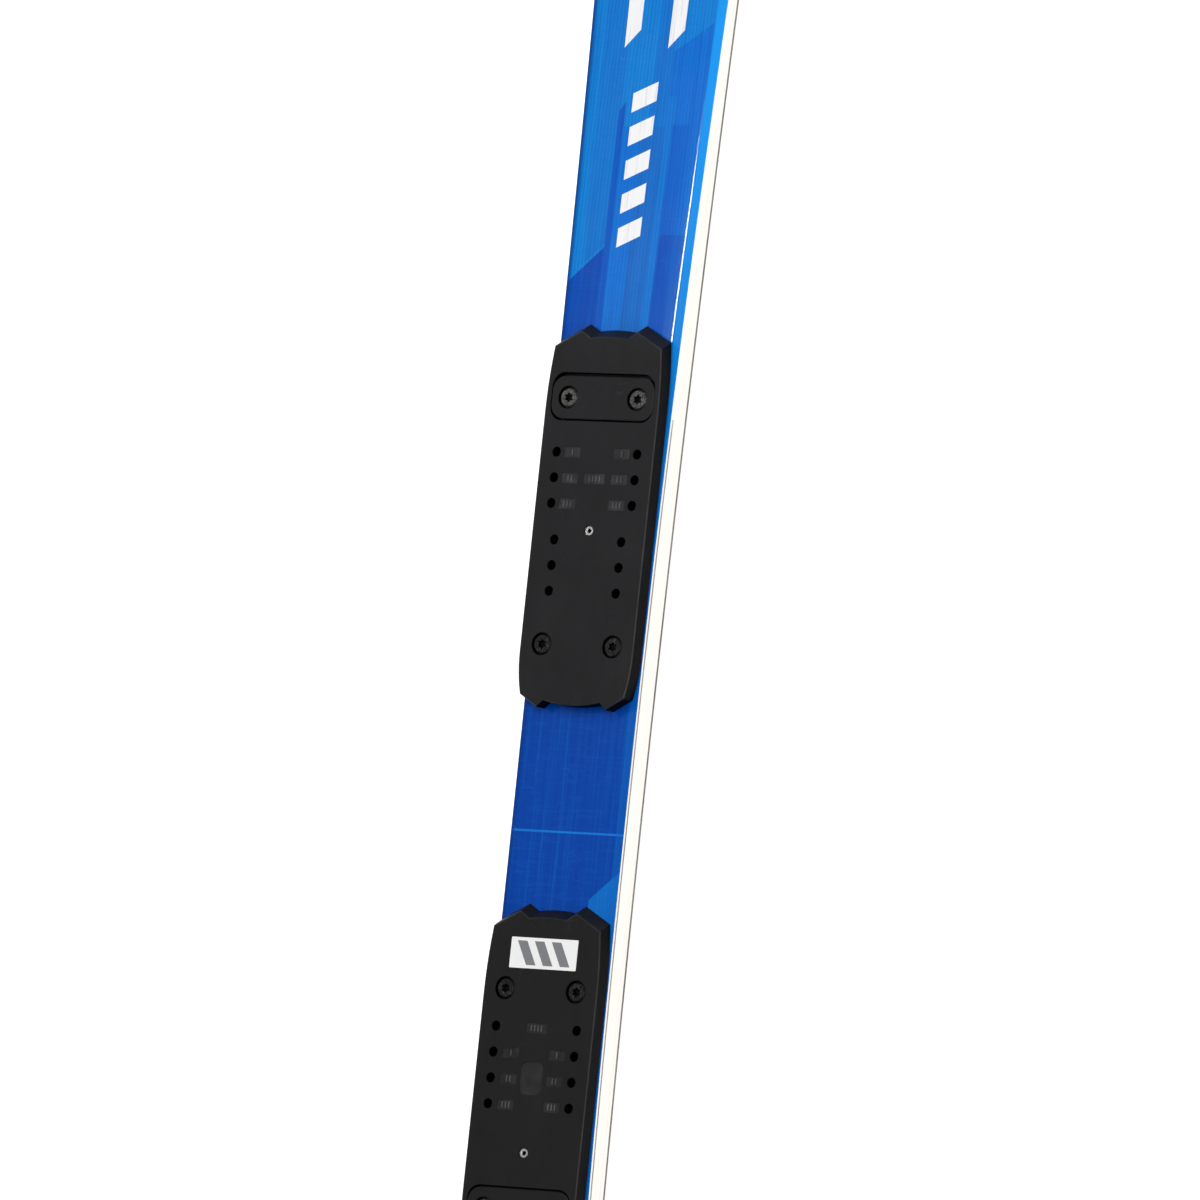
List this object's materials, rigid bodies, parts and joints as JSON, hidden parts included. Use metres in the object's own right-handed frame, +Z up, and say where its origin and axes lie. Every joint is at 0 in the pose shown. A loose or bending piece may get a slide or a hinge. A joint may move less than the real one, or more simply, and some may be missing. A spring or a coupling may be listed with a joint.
{
  "type": "alpine race ski",
  "caption": "Cambered alpine race ski with a blue topsheet, white sidewalls, steel edges and split black binding plates on floating anchors.",
  "frame": {"origin": "on the snow under the middle of the ski's length and width", "axes": "+X to the tip, +Y to the left, +Z up"},
  "size_m": [1.65, 0.1068, 0.05],
  "materials": {
    "base_black": "sintered, fine ground structure",
    "edge_steel": "ground and filed",
    "damping_rubber": "matte",
    "glass_laminate": "cured fibreglass in resin",
    "sheet_alloy": "anodised sheet",
    "ash_wood": "planed",
    "poplar_wood": "planed",
    "sidewall_white": "planed, satin",
    "topsheet_blue": "glossy clear coat over a streaked blue print",
    "spacer_black": "moulded",
    "plate_black": "moulded, fine satin grain",
    "pad_rubber": "matte",
    "screw_steel": "black passivated",
    "pin_steel": "bright zinc",
    "badge_white": "glossy label"
  },
  "bodies": {
    "ski": {"base": "base_black", "steel_edge_left": "edge_steel", "steel_edge_right": "edge_steel", "edge_damping_strips": "damping_rubber", "lower_glass_laminate": "glass_laminate", "lower_metal_sheet": "sheet_alloy", "core_ash_stringers": "ash_wood", "core_poplar_stringers": "poplar_wood", "binding_reinforcement": "sheet_alloy", "sidewall_left": "sidewall_white", "sidewall_right": "sidewall_white", "upper_metal_sheet": "sheet_alloy", "upper_glass_laminate": "glass_laminate", "topsheet": "topsheet_blue", "tip_spacer": "spacer_black", "tail_spacer": "spacer_black", "tail_protector": "spacer_black", "front_plate": "plate_black", "rear_plate": "plate_black", "front_plate_pad": "pad_rubber", "rear_plate_pad": "pad_rubber", "front_fixed_screws": "screw_steel", "rear_fixed_screws": "screw_steel", "front_plate_pin": "pin_steel", "rear_plate_pin": "pin_steel", "rear_badge": "badge_white"},
    "front_anchor_bar": {"front_anchor": "plate_black", "front_anchor_screws": "screw_steel"},
    "rear_anchor_bar": {"rear_anchor": "plate_black", "rear_anchor_screws": "screw_steel"}
  },
  "joints": [
    {"name": "front_anchor_slide", "type": "slide", "parent": "ski", "child": "front_anchor_bar", "axis": [1, 0, 0], "range_m": [-0.0007, 0.0015], "stiffness_N_per_m": 400},
    {"name": "rear_anchor_slide", "type": "slide", "parent": "ski", "child": "rear_anchor_bar", "axis": [1, 0, 0], "range_m": [-0.0015, 0.0007], "stiffness_N_per_m": 400}
  ]
}
